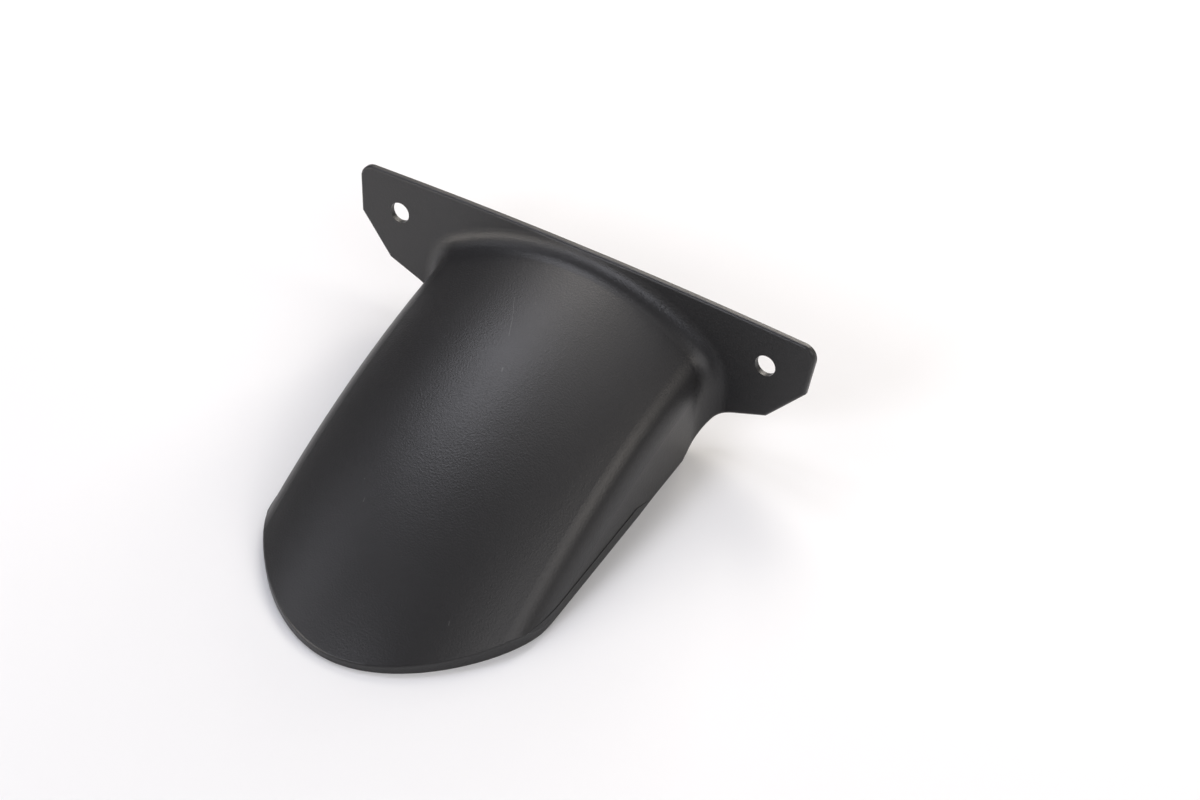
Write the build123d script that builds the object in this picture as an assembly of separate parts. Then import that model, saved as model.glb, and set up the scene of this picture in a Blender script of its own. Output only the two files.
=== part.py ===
from build123d import *
import os
from math import acos, asin, cos, degrees, pi, radians, sin, sqrt, tan

os.makedirs("parts", exist_ok=True)

# Rear hugger mudguard, one moulding with an even wall. An arched hood follows the tyre, and an upright
# plate stands round the hood's open mouth and carries the two fixing holes. Millimetres, +Z up, X across,
# the nose towards -Y. It rests on the level rim of the hood.

# Moulding
WALL = 2.0
ROOT_RADIUS = 7.0        # hollow between hood and plate, on the outer side
EDGE_RADIUS = 0.9        # outer corner of the free edges

# Hood, seen across
HOOD_WIDTH = 98.0        # outside the two upright side walls
WALL_FALL = 22.0         # from the crown line down to the top of the side walls
SHOULDER_RADIUS = 12.0   # crown to side wall

# Hood, seen along
TYRE_RADIUS = 285.0      # the crown line is an arc round the wheel
CROWN_HEIGHT = 44.1      # its highest point above the rim
CROWN_SETBACK = 16.0     # that point, behind the foot of the plate
NOSE_REACH = 132.2       # tip of the nose, in front of the foot of the plate

# Nose, seen from above: on each side one sweep from the wall to the tip, cut upright
SWEEP_LENGTH = 42.4      # from where it leaves the wall to the tip
SWEEP_LEAD = 4.0         # degrees it turns in at once on leaving the wall
SIDE_PULL = 13.9         # how far it keeps that direction
TIP_FLATNESS = 0.5       # how far it runs square across the tip, in half widths of the hood

# Rim lip, a thin raised band along the foot of each side wall, from the nose backwards
LIP_HEIGHT = 4.0
LIP_PROUD = 0.2
LIP_END = 29.0           # where it runs out, in front of the foot of the plate
LIP_RUN_OUT = 9.0        # length of its sloping end
LIP_TAPER = 16.0         # over this length it rises out of the wall

# Plate, square on, from the line through the holes
PLATE_LEAN = 13.1        # degrees back from upright
HOLE_PITCH = 134.0
HOLE_DIAMETER = 7.0
HOLE_HEIGHT = 34.7       # hole line above the rim, on the front face
TOP_UP = 14.1            # middle of the top edge above the holes
TOP_ARCH_RADIUS = 1800.0  # the top edge is very slightly arched
TOP_WIDTH = 166.6
TOP_CORNER_RADIUS = 4.5
SIDE_FOOT_WIDTH = 162.6  # foot of the short side edges
SIDE_FOOT_DOWN = 4.7
EAR_LENGTH = 20.5        # lower edge of each ear, from the hood's side wall out to its foot
EAR_FOOT_DOWN = 17.8
EAR_RISE = 0.36          # that edge's rise for each millimetre outwards

# Back corner of each side wall, cut on a slant up to the ear
CORNER_HEIGHT = 6.0      # on the wall's outer face, over the foot of the plate
CORNER_ACROSS = 0.75     # its rise for each millimetre outwards
CORNER_ALONG = 0.58      # its rise for each millimetre backwards
CORNER_RADIUS = 8.0      # between this cut and the ear's lower edge

# Tools run this far past what they cut
MARGIN = 10.0

axle_z = CROWN_HEIGHT - TYRE_RADIUS
axle = Axis((0, CROWN_SETBACK, axle_z), (1, 0, 0))
nose_turn = degrees(acos(-axle_z / TYRE_RADIUS)) + 5
back_turn = 12.0
ear_foot_x = HOOD_WIDTH / 2 + EAR_LENGTH
room = 4 * NOSE_REACH

lean = radians(PLATE_LEAN)
plate_front = Plane(
    origin=(0, HOLE_HEIGHT * tan(lean), HOLE_HEIGHT),
    x_dir=(1, 0, 0),
    z_dir=(0, -cos(lean), sin(lean)),
)
plate_back = plate_front.offset(-WALL)


def hood_core(inset, below):
    """Everything under the hood's outer skin, set in evenly, down to a level below the rim."""
    half_width = HOOD_WIDTH / 2 - inset
    shoulder = SHOULDER_RADIUS - inset
    shoulder_x = half_width - shoulder
    fall = WALL_FALL - inset
    arch = (fall**2 + shoulder_x**2 - shoulder**2) / (2 * (fall - shoulder))
    crown = TYRE_RADIUS - inset
    arch_centre = crown - arch
    shoulder_y = arch_centre + sqrt((arch - shoulder) ** 2 - shoulder_x**2)
    turn = asin(shoulder_x / (arch - shoulder))
    middle = (turn + pi / 2) / 2
    crown_end = (arch * sin(turn), arch_centre + arch * cos(turn))
    shoulder_middle = (shoulder_x + shoulder * sin(middle), shoulder_y + shoulder * cos(middle))
    wall_top = (half_width, shoulder_y)
    wall_foot = (half_width, -axle_z * cos(radians(nose_turn)) - below)
    right = [ThreePointArc(crown_end, shoulder_middle, wall_top), Line(wall_top, wall_foot)]
    left = [mirror(edge, about=Plane.YZ) for edge in right]
    crown_arc = ThreePointArc((-crown_end[0], crown_end[1]), (0, crown), crown_end)
    foot = Line((-wall_foot[0], wall_foot[1]), wall_foot)
    section = make_face([crown_arc, foot] + right + left)
    upright = Plane(origin=axle.position, x_dir=(1, 0, 0), z_dir=(0, -1, 0))
    start = (upright * section).rotate(axle, -back_turn)
    return revolve(start, axis=axle, revolution_arc=back_turn + nose_turn)


def skin(inset, plane, root_radius, margin):
    """Hood core and the space behind one face of the plate, as one solid with a rounded root."""
    width = TOP_WIDTH + 2 * margin
    height = 3 * CROWN_HEIGHT + 2 * margin
    depth = CROWN_HEIGHT + margin
    behind = plane * Box(width, height, depth, align=(Align.CENTER, Align.CENTER, Align.MAX))
    body = hood_core(inset, margin) + behind
    reach = HOOD_WIDTH / 2 - inset + 0.01
    root = [
        edge
        for edge in body.edges()
        if abs(plane.to_local_coords(edge.center()).Z) < 0.01
        and edge.bounding_box().max.X < reach
        and edge.bounding_box().min.X > -reach
    ]
    return fillet(root, root_radius)


def plate_outline():
    """Outline of the plate and its ears, carried straight down past the rim."""
    drop = TOP_ARCH_RADIUS - sqrt(TOP_ARCH_RADIUS**2 - (TOP_WIDTH / 2) ** 2)
    corner = (TOP_WIDTH / 2, TOP_UP - drop)
    far_corner = (-corner[0], corner[1])
    right = [
        corner,
        (SIDE_FOOT_WIDTH / 2, -SIDE_FOOT_DOWN),
        (ear_foot_x, -EAR_FOOT_DOWN),
        (ear_foot_x, -4 * CROWN_HEIGHT),
    ]
    left = [(-x, y) for x, y in reversed(right)]
    top = ThreePointArc(far_corner, (0, TOP_UP), corner)
    face = make_face([top, Polyline(*right, *left)])
    corners = [v for v in face.vertices() if v.Y > 0]
    return fillet(corners, TOP_CORNER_RADIUS)


def lower_waste(side):
    """Everything below one ear, cut square to the plate, and below the wall's slanting back corner."""
    below = Box(room, room, room, align=(Align.CENTER, Align.CENTER, Align.MAX))
    ear_foot = plate_front.from_local_coords(Vector(side * ear_foot_x, -EAR_FOOT_DOWN, 0))
    under_ear = Plane(origin=ear_foot, z_dir=(-side * EAR_RISE, sin(lean), cos(lean)))
    corner = Vector(side * HOOD_WIDTH / 2, 0, CORNER_HEIGHT)
    up_corner = Plane(origin=corner, z_dir=(-side * CORNER_ACROSS, -CORNER_ALONG, 1))
    waste = under_ear * below & up_corner * below
    ridge = [
        edge
        for edge in waste.edges()
        if all(abs(plane.to_local_coords(edge.center()).Z) < 0.01 for plane in (under_ear, up_corner))
    ]
    return fillet(ridge, CORNER_RADIUS)


def nose_sweep(inset):
    """Line of the nose seen from above, from one side wall round the tip to the other, set in evenly."""
    start = Vector(HOOD_WIDTH / 2 - inset, SWEEP_LENGTH - NOSE_REACH)
    heading = Vector(-sin(radians(SWEEP_LEAD)), -cos(radians(SWEEP_LEAD)))
    tip_y = inset - NOSE_REACH
    tip_pull = TIP_FLATNESS * HOOD_WIDTH / 2
    right = Bezier(start, start + heading * SIDE_PULL, (tip_pull, tip_y), (0, tip_y))
    left = mirror(right, about=Plane.YZ)
    lead_in = start - heading * MARGIN
    return right, left, start, lead_in


def nose_waste(inset):
    """Everything outside the nose sweep, to be cut off upright."""
    right, left, start, lead_in = nose_sweep(inset)
    far = NOSE_REACH + 5 * MARGIN
    wide = HOOD_WIDTH / 2 + 5 * MARGIN
    outside = [start, lead_in, (wide, lead_in.Y), (wide, -far), (-wide, -far), (-wide, lead_in.Y)]
    outside += [(-lead_in.X, lead_in.Y), (-start.X, start.Y)]
    return extrude(make_face([right, left, Polyline(*outside)]), 4 * CROWN_HEIGHT, both=True)


def rim_lip(side):
    """Raised band along the foot of one side wall, which follows the hood a little outside its skin."""
    wall_x = HOOD_WIDTH / 2
    outer_x = wall_x + 2 * LIP_PROUD
    back_y = -LIP_END
    nose_y = -NOSE_REACH
    profile = [(back_y, 0), (back_y - LIP_RUN_OUT, LIP_HEIGHT), (nose_y, LIP_HEIGHT), (nose_y, 0)]
    from_side = Plane.YZ * make_face(Polyline(*profile, close=True))
    tapered = [(wall_x, back_y), (outer_x, back_y - LIP_TAPER), (outer_x, nose_y)]
    inner = [(wall_x - WALL, nose_y), (wall_x - WALL, back_y)]
    from_above = make_face(Polyline(*tapered, *inner, close=True))
    band = extrude(from_side, HOOD_WIDTH) & extrude(from_above, LIP_HEIGHT)
    lip = band & hood_core(-LIP_PROUD, MARGIN)
    return lip if side > 0 else mirror(lip, about=Plane.YZ)


def free_edges(body, lower_cuts):
    """Outer edges left by the trims: round the plate, down the wall's back corners and round the nose."""
    outline = plate_outline().face().outer_wire()
    sweep = nose_sweep(0)[:2]
    found = []
    for edge in body.edges():
        middle = edge.position_at(0.5)
        on_plate = plate_front.to_local_coords(middle)
        in_front = on_plate.Z > -0.01
        round_plate = outline.distance_to(Vertex(on_plate.X, on_plate.Y, 0)) < 0.01
        on_cut = any(cut.distance_to(Vertex(*middle)) < 0.01 for cut in lower_cuts)
        outside = abs(middle.X) > HOOD_WIDTH / 2 - 0.01
        on_nose = min(curve.distance_to(Vertex(middle.X, middle.Y, 0)) for curve in sweep) < 0.01
        if in_front and (round_plate or on_cut and outside):
            found.append(edge)
        elif on_nose and middle.Z > WALL / 2 and abs(edge.tangent_at(0.5).Z) < 0.5:
            found.append(edge)
    return found


# Outer shape, trimmed to its outline and rounded while still solid
outer = skin(0, plate_front, ROOT_RADIUS, MARGIN)
outer &= plate_front * extrude(plate_outline(), 2 * NOSE_REACH, both=True)
outer -= Box(room, room, room, align=(Align.CENTER, Align.CENTER, Align.MAX))
lower_cuts = [lower_waste(-1), lower_waste(1)]
outer -= lower_cuts
outer -= nose_waste(0)
outer = fillet(free_edges(outer, lower_cuts), EDGE_RADIUS)
for side in (-1, 1):
    outer += rim_lip(side) - nose_waste(0)

# Hollowed to an even wall that turns down to the rim all round the nose, and drilled square to the plate
hollow = skin(WALL, plate_back, ROOT_RADIUS + WALL, 2 * MARGIN) - nose_waste(WALL)
body = outer - hollow
for side in (-1, 1):
    body -= plate_front * Pos(side * HOLE_PITCH / 2, 0, 0) * Cylinder(HOLE_DIAMETER / 2, 4 * WALL)

# The origin is under the middle of the whole, on the plane the rim rests on
body = Pos(0, -body.bounding_box().center().Y, 0) * body
body.label = "hugger_mudguard"
export_step(body, "parts/hugger_mudguard.step")
print(body.is_valid, len(body.solids()), body.volume, body.bounding_box())
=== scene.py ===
# %% [markdown]
# # Rear hugger mudguard
# A hugger is the short guard that sits close over a motorbike's rear tyre. This one is a single black
# moulding: an arched hood, and an upright plate whose two ears take a screw each. The construction is a
# finished frame that is loaded first, in metres. This lesson gives that frame its plastic, with the marks of
# handling on it, and then its table, its light and its camera.

# %% Load the frame
from math import cos, radians, sin
import bpy
from mathutils import Matrix, Vector


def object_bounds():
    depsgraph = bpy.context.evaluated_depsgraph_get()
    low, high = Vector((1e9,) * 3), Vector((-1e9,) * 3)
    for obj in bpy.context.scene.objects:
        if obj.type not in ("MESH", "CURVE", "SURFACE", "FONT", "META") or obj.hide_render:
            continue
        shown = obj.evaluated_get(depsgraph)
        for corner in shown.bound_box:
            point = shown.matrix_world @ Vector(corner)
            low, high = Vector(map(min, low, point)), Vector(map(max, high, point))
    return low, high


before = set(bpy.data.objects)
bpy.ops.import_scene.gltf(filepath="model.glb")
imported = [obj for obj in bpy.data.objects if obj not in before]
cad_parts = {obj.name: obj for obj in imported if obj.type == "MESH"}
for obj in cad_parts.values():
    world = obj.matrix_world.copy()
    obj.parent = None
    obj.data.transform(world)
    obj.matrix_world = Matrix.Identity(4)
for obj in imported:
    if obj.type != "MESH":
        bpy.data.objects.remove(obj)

cad_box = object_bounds()
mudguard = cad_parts["hugger_mudguard"]
MM = 0.001
print("CAD box in mm:", [[round(value / MM, 2) for value in corner] for corner in cad_box])

# %% [markdown]
# ## Small helpers for materials
# Every finish below is made from shader nodes. Short helpers keep that readable: they add a node and plug in
# its inputs, calculate with numbers and vectors, and start a node group with named sockets. A group could
# also be made by hand in the shader editor, but code that names each input shows what feeds what.

# %% Helpers for nodes
def add_node(tree, kind, inputs=None, **settings):
    """Adds one shader node. An input is a plain value, or an output socket to link from."""
    node = tree.nodes.new(kind)
    for name, value in settings.items():
        setattr(node, name, value)
    for name, value in (inputs or {}).items():
        if isinstance(value, bpy.types.NodeSocket):
            tree.links.new(value, node.inputs[name])
        else:
            node.inputs[name].default_value = value
    return node


def maths(tree, operation, *values, clamp=False):
    """Calculates with two or three numbers, and returns the result."""
    node = add_node(tree, "ShaderNodeMath", dict(enumerate(values)), operation=operation, use_clamp=clamp)
    return node.outputs[0]


def vector_maths(tree, operation, first, second):
    """Calculates with two vectors. The result is a number for a distance and for a dot product."""
    node = add_node(tree, "ShaderNodeVectorMath", {0: first, 1: second}, operation=operation)
    return node.outputs["Value" if operation in ("DISTANCE", "DOT_PRODUCT") else "Vector"]


def noise(tree, scale, detail):
    """Returns the grey value of noise in the object's own space."""
    place = add_node(tree, "ShaderNodeTexCoord")
    inputs = {"Vector": place.outputs["Object"], "Scale": scale, "Detail": detail}
    return add_node(tree, "ShaderNodeTexNoise", inputs).outputs["Fac"]


def fade(tree, value, end, **settings):
    """Returns a mask that is one where the value is zero, and has faded out where it reaches the end."""
    inputs = {"Value": value, "From Min": 0.0, "From Max": end, "To Min": 1.0, "To Max": 0.0}
    return add_node(tree, "ShaderNodeMapRange", inputs, **settings).outputs["Result"]


def blend(tree, factor, under, over):
    """Returns the mix of two colours. A Mix node has its colours on inputs 6 and 7 and on output 2."""
    return add_node(tree, "ShaderNodeMix", {"Factor": factor, 6: under, 7: over}, data_type="RGBA").outputs[2]


def new_group(name, inputs, outputs):
    """Starts a node group from its named inputs, and returns it with its input and output nodes."""
    group = bpy.data.node_groups.new(name, "ShaderNodeTree")
    for label, value in inputs.items():
        kind = "NodeSocketFloat" if isinstance(value, float) else "NodeSocketVector"
        socket = group.interface.new_socket(label, in_out="INPUT", socket_type=kind)
        socket.default_value = value
    for label in outputs:
        group.interface.new_socket(label, in_out="OUTPUT", socket_type="NodeSocketFloat")
    entry = group.nodes.new("NodeGroupInput")
    leave = group.nodes.new("NodeGroupOutput")
    return group, entry, leave


print("Helpers ready: add_node, maths, vector_maths, noise, fade, blend, new_group")

# %% [markdown]
# ## The moulded grain
# The tool that moulds such a guard is spark-eroded, which leaves a very fine, even grain on the plastic. It
# could be modelled as displacement, but it is a few hundredths of a millimetre deep, so a bump is enough.
# Two sizes of noise are mixed, because one alone looks like sand.

# %% Group for the moulded grain
grain, entry, leave = new_group(
    "moulded_grain",
    {"Pits per metre": 1600.0, "Waves per metre": 90.0, "Wave share": 0.3},
    ["Height"],
)
pits = noise(grain, entry.outputs["Pits per metre"], detail=2.0)
waves = noise(grain, entry.outputs["Waves per metre"], detail=3.0)
both = add_node(grain, "ShaderNodeMix", {"Factor": entry.outputs["Wave share"], "A": pits, "B": waves})
grain.links.new(both.outputs["Result"], leave.inputs["Height"])
print("Group moulded_grain:", len(grain.nodes), "nodes")

# %% [markdown]
# ## Uneven sheen
# Moulded plastic is never equally dull all over: it dulls where the melt froze first, and hands polish it.
# A painted map could show that, but soft noise in the object's own space needs no unwrapping. The group
# puts out an offset to the roughness, round zero, that changes slowly over the surface.

# %% Group for the uneven sheen
sheen, entry, leave = new_group("uneven_sheen", {"Patches per metre": 28.0, "Amount": 0.1}, ["Offset"])
patches = noise(sheen, entry.outputs["Patches per metre"], detail=4.0)
centred = maths(sheen, "SUBTRACT", patches, 0.5)
scaled = maths(sheen, "MULTIPLY", centred, entry.outputs["Amount"])
sheen.links.new(scaled, leave.inputs["Offset"])
print("Group uneven_sheen:", len(sheen.nodes), "nodes")

# %% [markdown]
# ## Scratches
# A used guard has a few hairline scratches, and each is just a thin line on the surface. The group gives the
# mask of one: it measures how far the surface is from the straight line between two points, and fades out
# over the scratch's width. It could be a drawn texture, but two points and a width say it all.

# %% Group for one scratch
scratch, entry, leave = new_group(
    "scratch_line",
    {"Start": (0.0, 0.0, 0.0), "End": (0.0, 0.01, 0.0), "Width": 0.0003},
    ["Mask"],
)
place = add_node(scratch, "ShaderNodeTexCoord").outputs["Object"]
along = vector_maths(scratch, "SUBTRACT", entry.outputs["End"], entry.outputs["Start"])
to_here = vector_maths(scratch, "SUBTRACT", place, entry.outputs["Start"])
reach = vector_maths(scratch, "DOT_PRODUCT", to_here, along)
whole = vector_maths(scratch, "DOT_PRODUCT", along, along)
share = maths(scratch, "DIVIDE", reach, whole, clamp=True)
nearest = add_node(scratch, "ShaderNodeVectorMath", {0: along, "Scale": share}, operation="SCALE")
away = vector_maths(scratch, "DISTANCE", to_here, nearest.outputs["Vector"])
mask = fade(scratch, away, entry.outputs["Width"], interpolation_type="SMOOTHSTEP")
scratch.links.new(mask, leave.inputs["Mask"])
print("Group scratch_line:", len(scratch.nodes), "nodes")

# %% [markdown]
# ## Flecks of dust
# Black plastic shows every grain of dust. A Voronoi texture scatters points evenly, and its cell colour is a
# random number for each point, so a threshold on it keeps only a few of them. Loose particles would be
# heavier and look the same at this size.

# %% Group for the dust
dust, entry, leave = new_group(
    "dust_flecks", {"Cells per metre": 110.0, "Fleck size": 0.022, "Share": 0.10}, ["Mask"]
)
place = add_node(dust, "ShaderNodeTexCoord").outputs["Object"]
cells = add_node(dust, "ShaderNodeTexVoronoi", {"Vector": place, "Scale": entry.outputs["Cells per metre"]})
fleck = maths(dust, "LESS_THAN", cells.outputs["Distance"], entry.outputs["Fleck size"])
channels = add_node(dust, "ShaderNodeSeparateColor", {"Color": cells.outputs["Color"]})
chosen = maths(dust, "LESS_THAN", channels.outputs["Red"], entry.outputs["Share"])
shown = maths(dust, "MULTIPLY", fleck, chosen)
dust.links.new(shown, leave.inputs["Mask"])
print("Group dust_flecks:", len(dust.nodes), "nodes")

# %% [markdown]
# ## Rubbed rim, with a painted reflection
# The foot of the hood is what the guard stands and slides on, so its last millimetre is rubbed smoother. It
# is
# also painted paler: partly scuffing, and partly a painted reflection of the white table in the rounded foot.
# The mask fades out with the height above the table, and noise breaks it up. A bevel or curvature node could
# find every edge, but only this one rubs.

# %% Group for the rubbed rim and its painted reflection
rub_and_reflection_group, entry, leave = new_group("rubbed_rim_and_painted_reflection", {"Height": 0.0009, "Breaks per metre": 350.0}, ["Mask"])
place = add_node(rub_and_reflection_group, "ShaderNodeTexCoord").outputs["Object"]
height = add_node(rub_and_reflection_group, "ShaderNodeSeparateXYZ", {"Vector": place}).outputs["Z"]
near_foot = fade(rub_and_reflection_group, height, entry.outputs["Height"])
breaks = noise(rub_and_reflection_group, entry.outputs["Breaks per metre"], detail=3.0)
broken = maths(rub_and_reflection_group, "MULTIPLY", near_foot, breaks)
rub_and_reflection_group.links.new(broken, leave.inputs["Mask"])
print("Group rubbed_rim_and_painted_reflection:", len(rub_and_reflection_group.nodes), "nodes")

# %% [markdown]
# ## Black plastic: colour, marks and a painted reflection
# The real finish is carbon-black plastic with no paint, very dark all through. Its colour hardly changes, so
# the marks are mixed over it in two steps: first a grey band along the foot, partly rub and partly a painted
# reflection of the white table, then pale scratches and dust. A scratch is its start and its end on the
# surface, and its width, all in millimetres.

# %% Marks and painted reflection on the moulding
PLASTIC_COLOUR = (0.0194, 0.0191, 0.0200, 1.0)
# Paler foot colour: partly scuffed plastic, partly a painted reflection of the white table.
WORN_AND_REFLECTION_COLOUR = (0.040, 0.039, 0.039, 1.0)
MARK_COLOUR = (0.065, 0.065, 0.065, 1.0)
SCRATCHES = [
    ((-10.4, 47.8, 42.1), (-7.0, 41.9, 41.8), 0.14),
    ((-6.4, 40.8, 41.7), (-3.4, 33.8, 41.0), 0.21),
    ((1.4, 23.0, 39.1), (1.7, 21.9, 38.9), 0.35),
    ((-14.2, -30.0, 22.7), (-14.0, -31.2, 22.1), 0.25),
    ((27.9, -49.0, 10.3), (28.2, -49.9, 9.7), 0.22),
]
plastic = bpy.data.materials.new("black_moulded_plastic")
plastic.use_nodes = True
tree = plastic.node_tree
surface = tree.nodes["Principled BSDF"]
marks = add_node(tree, "ShaderNodeGroup", node_tree=dust).outputs["Mask"]
for start, end, width in SCRATCHES:
    sizes = {"Start": Vector(start) * MM, "End": Vector(end) * MM, "Width": width * MM}
    line = add_node(tree, "ShaderNodeGroup", sizes, node_tree=scratch)
    marks = maths(tree, "MAXIMUM", marks, line.outputs["Mask"])
rub_and_reflection_mask = add_node(tree, "ShaderNodeGroup", node_tree=rub_and_reflection_group).outputs["Mask"]
# The foot band is painted paler: partly scuff, partly a painted reflection of the table.
worn_and_reflecting = blend(tree, rub_and_reflection_mask, PLASTIC_COLOUR, WORN_AND_REFLECTION_COLOUR)
marked_and_reflecting = blend(tree, marks, worn_and_reflecting, MARK_COLOUR)
tree.links.new(marked_and_reflecting, surface.inputs["Base Color"])
print("Scratches:", len(SCRATCHES), "nodes so far:", len(tree.nodes))

# %% [markdown]
# ## Black plastic: sheen and relief
# The dull sheen does most of the work on a black part. The roughness sits where a satin moulding has it, is
# made a little uneven, and drops where the rim is rubbed. The grain goes in as a bump.

# %% Sheen and relief of the moulding
ROUGHNESS = 0.39
RUBBED_SMOOTHER_BY = 0.12
GRAIN_DEPTH = 0.11 * MM
uneven = add_node(tree, "ShaderNodeGroup", node_tree=sheen).outputs["Offset"]
dull = maths(tree, "ADD", uneven, ROUGHNESS)
polished = maths(tree, "MULTIPLY_ADD", rub_and_reflection_mask, -RUBBED_SMOOTHER_BY, dull)
tree.links.new(polished, surface.inputs["Roughness"])
height = add_node(tree, "ShaderNodeGroup", node_tree=grain).outputs["Height"]
relief = add_node(tree, "ShaderNodeBump", {"Height": height, "Strength": 1.0, "Distance": GRAIN_DEPTH})
tree.links.new(relief.outputs["Normal"], surface.inputs["Normal"])
mudguard.data.materials.clear()
mudguard.data.materials.append(plastic)
print("Material slots on the moulding:", [slot.name for slot in mudguard.material_slots])

# %% [markdown]
# ## Table
# The guard stands on a white table that fades into a white room. A flat sheet at the level of the rim keeps
# the soft shadow that seats the guard on the table.

# %% Table sheet
TABLE_HALF = 3.0
TABLE_COLOUR = (0.86, 0.865, 0.87, 1.0)
TABLE_ROUGHNESS = 0.6
table_mesh = bpy.data.meshes.new("table")
corners = [(x * TABLE_HALF, y * TABLE_HALF, cad_box[0].z) for x, y in ((-1, -1), (1, -1), (1, 1), (-1, 1))]
table_mesh.from_pydata(corners, [], [(0, 1, 2, 3)])
table = bpy.data.objects.new("table", table_mesh)
bpy.context.scene.collection.objects.link(table)
white = bpy.data.materials.new("white_table")
white.use_nodes = True
paint = white.node_tree.nodes["Principled BSDF"]
paint.inputs["Base Color"].default_value = TABLE_COLOUR
paint.inputs["Roughness"].default_value = TABLE_ROUGHNESS
table_mesh.materials.append(white)
print("Table side in metres:", 2 * TABLE_HALF)

# %% [markdown]
# ## Lamps
# A black part shows its shape only by what it mirrors, so the lamps matter more than the colour. Large round
# soft lamps stand all round, each a little different: mostly cool ones on the left, warm ones behind and low
# down. A single bright world would be simpler, but it would wash the arch out to one flat grey. Each lamp is
# its degrees round from the nose, its degrees above the table, its width in metres, its watts and its tint.

# %% Soft lamps
MIDDLE = (cad_box[0] + cad_box[1]) / 2
LAMP_DISTANCE = 1.6
COOL, PLAIN, WARM = (0.96, 0.97, 1.06), (1.01, 0.99, 1.0), (1.07, 1.0, 0.92)
LAMPS = {
    "low_behind": (180, 12, 0.7, 15.0, WARM),
    "behind": (200, 35, 0.7, 8.0, WARM),
    "high_behind": (180, 60, 1.4, 5.0, PLAIN),
    "high_left": (240, 60, 0.7, 6.0, COOL),
    "left": (290, 35, 0.7, 2.0, COOL),
    "low_front_left": (315, 12, 0.7, 6.0, WARM),
    "front_left": (340, 35, 0.7, 7.0, COOL),
    "wide_right": (70, 35, 1.4, 9.0, PLAIN),
    "behind_right": (110, 35, 0.7, 4.0, WARM),
}


def soft_lamp(name, round_it, above, width, watts, tint):
    """Adds a round soft lamp that looks at the middle of the guard, from degrees round and above it."""
    turn, rise = radians(round_it), radians(above)
    way = Vector((sin(turn) * cos(rise), -cos(turn) * cos(rise), sin(rise)))
    lamp = bpy.data.lights.new(name, "AREA")
    lamp.shape = "DISK"
    lamp.size = width
    lamp.energy = watts
    lamp.color = tint
    body = bpy.data.objects.new(name, lamp)
    body.location = MIDDLE + way * LAMP_DISTANCE
    body.rotation_euler = way.to_track_quat("Z", "Y").to_euler()
    bpy.context.scene.collection.objects.link(body)
    return body


for name, settings in LAMPS.items():
    soft_lamp(name, *settings)

# %% [markdown]
# ## Room
# The camera should see a white room past the table, but a white room would also light the part from every
# side. Light Path's Is Camera Ray tells the two apart: only what the camera sees directly is white, and the
# part gets no more than a dim grey.

# %% White room for the camera
DIM_ROOM = 0.02
world = bpy.data.worlds.new("white_room")
bpy.context.scene.world = world
world.use_nodes = True
room = world.node_tree
sky = room.nodes["Background"]
sky.inputs["Color"].default_value = (1.0, 1.0, 1.0, 1.0)
path = add_node(room, "ShaderNodeLightPath")
seen = maths(room, "MAXIMUM", path.outputs["Is Camera Ray"], DIM_ROOM)
room.links.new(seen, sky.inputs["Strength"])
print("Room light:", DIM_ROOM)

# %% [markdown]
# ## Camera
# The guard is seen from above, from the nose's right, with the plate at the back. A long lens keeps it
# nearly free of perspective.

# %% Camera
EYE = Vector((0.41126, -0.54808, 0.76002))
AHEAD = Vector((-0.37898, 0.57679, -0.72366))
ACROSS = Vector((0.84920, 0.52751, -0.02427))
FOCAL_LENGTH = 100.0
SENSOR_WIDTH = 36.0
back = -AHEAD.normalized()
right = (ACROSS - ACROSS.dot(back) * back).normalized()
up = back.cross(right)
lens = bpy.data.cameras.new("camera")
lens.lens = FOCAL_LENGTH
lens.sensor_width = SENSOR_WIDTH
camera = bpy.data.objects.new("camera", lens)
camera.matrix_world = Matrix.Translation(EYE) @ Matrix((right, up, back)).transposed().to_4x4()
bpy.context.scene.collection.objects.link(camera)
bpy.context.scene.camera = camera
bpy.context.scene.view_settings.view_transform = "Standard"
print("Camera distance in metres:", round((EYE - MIDDLE).length, 3))
